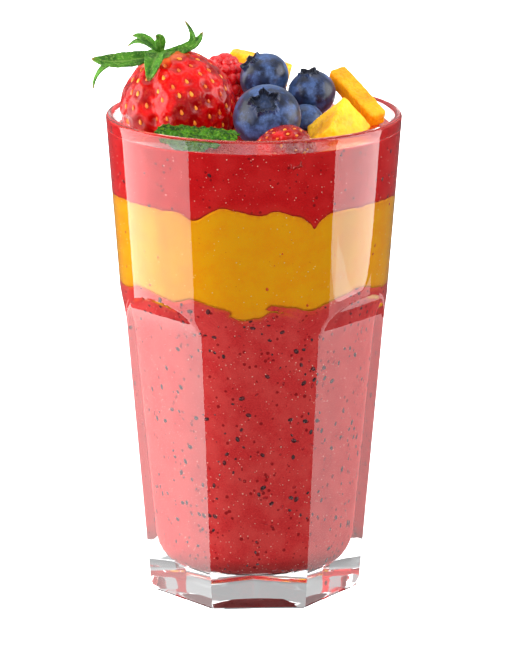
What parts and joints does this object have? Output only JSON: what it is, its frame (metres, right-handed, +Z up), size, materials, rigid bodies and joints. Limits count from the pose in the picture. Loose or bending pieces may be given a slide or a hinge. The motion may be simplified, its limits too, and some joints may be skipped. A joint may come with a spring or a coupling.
{
  "type": "berry smoothie in a glass",
  "caption": "Tall faceted tumbler filled with a layered berry and mango smoothie, topped with a strawberry, a raspberry, blueberries, mango pieces and a mint leaf.",
  "frame": {"origin": "middle of the glass foot, on the surface that it stands on", "axes": "+Z up along the axis of the glass, -Y towards the side that the drink is seen from, +X to the right seen from there"},
  "size_m": [0.0884, 0.0844, 0.1655],
  "materials": {
    "glass": "clear pressed soda glass, polished",
    "berry_smoothie": "wet, thick, lightly speckled fruit puree",
    "mango_smoothie": "wet, smooth mango puree",
    "upper_berry_smoothie": "wet, thick red berry puree",
    "strawberry_flesh": "glossy wet strawberry skin",
    "strawberry_leaf": "fresh leaf, soft sheen",
    "raspberry_flesh": "wet raspberry drupelets",
    "blueberry_skin": "dark blue skin with a pale waxy bloom",
    "mango_flesh": "moist cut mango",
    "mint_green": "crinkled fresh mint"
  },
  "bodies": {
    "root": {"glass": "glass", "lower_smoothie": "berry_smoothie", "mango_layer": "mango_smoothie", "upper_smoothie": "upper_berry_smoothie", "strawberry": "strawberry_flesh", "strawberry_leaves": "strawberry_leaf", "small_strawberry": "strawberry_flesh", "raspberry": "raspberry_flesh", "blueberry_back": "blueberry_skin", "blueberry_front": "blueberry_skin", "blueberry_right": "blueberry_skin", "blueberry_low": "blueberry_skin", "blueberry_nub": "blueberry_skin", "mango_wedge": "mango_flesh", "mango_chunk": "mango_flesh", "mango_slab": "mango_flesh", "mint_leaf": "mint_green"}
  },
  "joints": []
}
